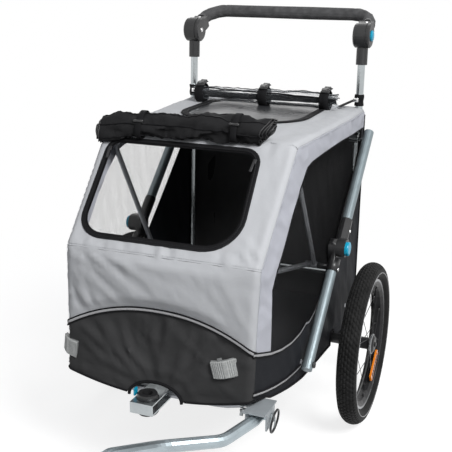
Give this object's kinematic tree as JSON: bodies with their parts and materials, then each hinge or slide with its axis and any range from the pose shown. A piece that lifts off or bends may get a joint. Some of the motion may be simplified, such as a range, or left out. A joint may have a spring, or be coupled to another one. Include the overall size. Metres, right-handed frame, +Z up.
{
  "type": "folding bicycle trailer",
  "caption": "Two-wheel fabric-bodied folding bicycle trailer with push handle, mesh windows, side struts and a side drawbar.",
  "frame": {"origin": "on the ground, in the middle of the length and width of the whole trailer with its drawbar and handle", "axes": "+Z up; the trailer travels toward -Y, the handle is at +Y; +X is the side of the drawbar; the wheel axle runs along X"},
  "size_m": [0.706, 1.3387, 0.9845],
  "materials": {
    "base_frame": "satin grey paint",
    "axle_beam": "satin grey paint",
    "floor_board": "matt black woven",
    "drawbar_bracket": "satin grey paint",
    "front_receiver": "satin grey paint",
    "receiver_bush": "satin black",
    "axle_left": "satin grey paint",
    "axle_right": "satin grey paint",
    "canopy": "matt grey woven",
    "skylight": "clear film or lens",
    "front_skirt": "matt black woven",
    "arch_piping": "reflective tape",
    "rear_panel": "matt black woven",
    "side_band_left": "matt grey woven",
    "side_band_right": "matt grey woven",
    "side_panel_left": "matt black woven",
    "side_panel_right": "matt black woven",
    "mesh_window_left": "black rubber",
    "mesh_window_right": "black rubber",
    "door_roll": "black rubber",
    "rain_cover": "clear film or lens",
    "front_reflector_left": "clear film or lens",
    "front_reflector_right": "clear film or lens",
    "tyre_left": "black rubber",
    "wheel_left": "satin black",
    "spoke_reflector_left": "prismatic amber",
    "tyre_right": "black rubber",
    "wheel_right": "satin black",
    "spoke_reflector_right": "prismatic amber",
    "hub_button_left": "satin black",
    "hub_button_right": "satin black",
    "rear_frame": "satin grey paint",
    "handle_socket_left": "satin black",
    "handle_socket_right": "satin black",
    "handle_hub_left": "satin black",
    "handle_hub_right": "satin black",
    "handle_bar": "satin grey paint",
    "handle_grip": "closed foam",
    "handle_button_left": "gloss teal",
    "handle_button_right": "gloss teal",
    "lower_strut_left": "satin grey paint",
    "lower_strut_right": "satin grey paint",
    "lower_knee_left": "satin black",
    "lower_knee_right": "satin black",
    "upper_strut_left": "satin grey paint",
    "upper_strut_right": "satin grey paint",
    "upper_knee_left": "satin black",
    "upper_knee_right": "satin black",
    "knee_button_left": "gloss teal",
    "knee_button_right": "gloss teal",
    "crease_bow": "satin grey paint",
    "kink_bow": "satin grey paint",
    "drawbar": "satin grey paint",
    "hitch_pin": "zinc plated",
    "drawbar_pin": "zinc plated",
    "hitch_head": "satin grey paint",
    "receiver_release": "gloss teal"
  },
  "bodies": {
    "chassis": {"base_frame": "base_frame", "axle_beam": "axle_beam", "floor_board": "floor_board", "drawbar_bracket": "drawbar_bracket", "front_receiver": "front_receiver", "receiver_bush": "receiver_bush", "axle_left": "axle_left", "axle_right": "axle_right", "canopy": "canopy", "skylight": "skylight", "front_skirt": "front_skirt", "arch_piping": "arch_piping", "rear_panel": "rear_panel", "side_band_left": "side_band_left", "side_band_right": "side_band_right", "side_panel_left": "side_panel_left", "side_panel_right": "side_panel_right", "mesh_window_left": "mesh_window_left", "mesh_window_right": "mesh_window_right", "door_roll": "door_roll", "rain_cover": "rain_cover", "front_reflector_left": "front_reflector_left", "front_reflector_right": "front_reflector_right"},
    "wheel_left": {"tyre_left": "tyre_left", "wheel_left": "wheel_left", "spoke_reflector_left": "spoke_reflector_left"},
    "wheel_right": {"tyre_right": "tyre_right", "wheel_right": "wheel_right", "spoke_reflector_right": "spoke_reflector_right"},
    "hub_button_left": {"hub_button_left": "hub_button_left"},
    "hub_button_right": {"hub_button_right": "hub_button_right"},
    "rear": {"rear_frame": "rear_frame", "handle_socket_left": "handle_socket_left", "handle_socket_right": "handle_socket_right"},
    "handle": {"handle_hub_left": "handle_hub_left", "handle_hub_right": "handle_hub_right", "handle_bar": "handle_bar", "handle_grip": "handle_grip"},
    "handle_button_left": {"handle_button_left": "handle_button_left"},
    "handle_button_right": {"handle_button_right": "handle_button_right"},
    "lower_struts": {"lower_strut_left": "lower_strut_left", "lower_strut_right": "lower_strut_right", "lower_knee_left": "lower_knee_left", "lower_knee_right": "lower_knee_right"},
    "upper_struts": {"upper_strut_left": "upper_strut_left", "upper_strut_right": "upper_strut_right", "upper_knee_left": "upper_knee_left", "upper_knee_right": "upper_knee_right"},
    "knee_button_left": {"knee_button_left": "knee_button_left"},
    "knee_button_right": {"knee_button_right": "knee_button_right"},
    "front_bow": {"crease_bow": "crease_bow"},
    "roof_bow": {"kink_bow": "kink_bow"},
    "drawbar": {"drawbar": "drawbar", "hitch_pin": "hitch_pin"},
    "drawbar_pin": {"drawbar_pin": "drawbar_pin"},
    "hitch_head": {"hitch_head": "hitch_head"},
    "receiver_release": {"receiver_release": "receiver_release"}
  },
  "joints": [
    {"name": "fold", "type": "hinge", "parent": "chassis", "child": "rear", "pos_m": [0, 0.47263, 0.235], "axis": [1, 0, 0], "range_deg": [0, 90], "deforming": ["canopy", "skylight", "front_skirt", "arch_piping", "rear_panel", "side_band_left", "side_band_right", "side_panel_left", "side_panel_right", "mesh_window_left", "mesh_window_right", "door_roll", "rain_cover"]},
    {"name": "lower_struts", "type": "hinge", "parent": "chassis", "child": "lower_struts", "pos_m": [0, 0.07453, 0.2415], "axis": [1, 0, 0], "range_deg": [-43.5, 0]},
    {"name": "knees", "type": "hinge", "parent": "lower_struts", "child": "upper_struts", "pos_m": [0, 0.27271, 0.45275], "axis": [1, 0, 0], "range_deg": [0, 170.2]},
    {"name": "front_bow", "type": "hinge", "parent": "lower_struts", "child": "front_bow", "pos_m": [0, 0.25089, 0.41156], "axis": [1, 0, 0], "range_deg": [0, 55.4]},
    {"name": "roof_bow", "type": "hinge", "parent": "lower_struts", "child": "roof_bow", "pos_m": [0, 0.25089, 0.41156], "axis": [1, 0, 0], "range_deg": [0, 96.9]},
    {"name": "handle", "type": "hinge", "parent": "rear", "child": "handle", "pos_m": [0, 0.55013, 0.921], "axis": [1, 0, 0], "range_deg": [-60, 60]},
    {"name": "drawbar", "type": "hinge", "parent": "chassis", "child": "drawbar", "pos_m": [0, -0.14037, 0.2175], "axis": [1, 0, 0], "range_deg": [0, 70]},
    {"name": "drawbar_pin", "type": "slide", "parent": "chassis", "child": "drawbar_pin", "axis": [1, 0, 0], "range_m": [0, 0.055]},
    {"name": "hitch", "type": "hinge", "parent": "drawbar", "child": "hitch_head", "pos_m": [0.09, -0.59137, 0.3], "axis": [0, 0, 1], "range_deg": [-60, 60]},
    {"name": "receiver_release", "type": "slide", "parent": "chassis", "child": "receiver_release", "axis": [0, 0, 1], "range_m": [0, 0.006], "stiffness_N_per_m": 400, "springref_m": -0.002},
    {"name": "wheel_left", "type": "hinge", "parent": "chassis", "child": "wheel_left", "pos_m": [0.324, 0.33363, 0.2], "axis": [1, 0, 0], "continuous": true},
    {"name": "hub_button_left", "type": "slide", "parent": "chassis", "child": "hub_button_left", "axis": [-1, 0, 0], "range_m": [0, 0.003], "stiffness_N_per_m": 500, "springref_m": -0.002},
    {"name": "knee_button_left", "type": "slide", "parent": "upper_struts", "child": "knee_button_left", "axis": [-1, 0, 0], "range_m": [0, 0.003], "stiffness_N_per_m": 600, "springref_m": -0.002},
    {"name": "handle_button_left", "type": "slide", "parent": "handle", "child": "handle_button_left", "axis": [-1, 0, 0], "range_m": [0, 0.003], "stiffness_N_per_m": 600, "springref_m": -0.002},
    {"name": "wheel_right", "type": "hinge", "parent": "chassis", "child": "wheel_right", "pos_m": [-0.324, 0.33363, 0.2], "axis": [1, 0, 0], "continuous": true},
    {"name": "hub_button_right", "type": "slide", "parent": "chassis", "child": "hub_button_right", "axis": [1, 0, 0], "range_m": [0, 0.003], "stiffness_N_per_m": 500, "springref_m": -0.002},
    {"name": "knee_button_right", "type": "slide", "parent": "upper_struts", "child": "knee_button_right", "axis": [1, 0, 0], "range_m": [0, 0.003], "stiffness_N_per_m": 600, "springref_m": -0.002},
    {"name": "handle_button_right", "type": "slide", "parent": "handle", "child": "handle_button_right", "axis": [1, 0, 0], "range_m": [0, 0.003], "stiffness_N_per_m": 600, "springref_m": -0.002}
  ],
  "couplings": [
    {"joint": "lower_struts", "follows": "fold", "ratio": -0.4823},
    {"joint": "knees", "follows": "fold", "ratio": 1.89},
    {"joint": "front_bow", "follows": "fold", "ratio": 0.614},
    {"joint": "roof_bow", "follows": "fold", "ratio": 1.075}
  ]
}
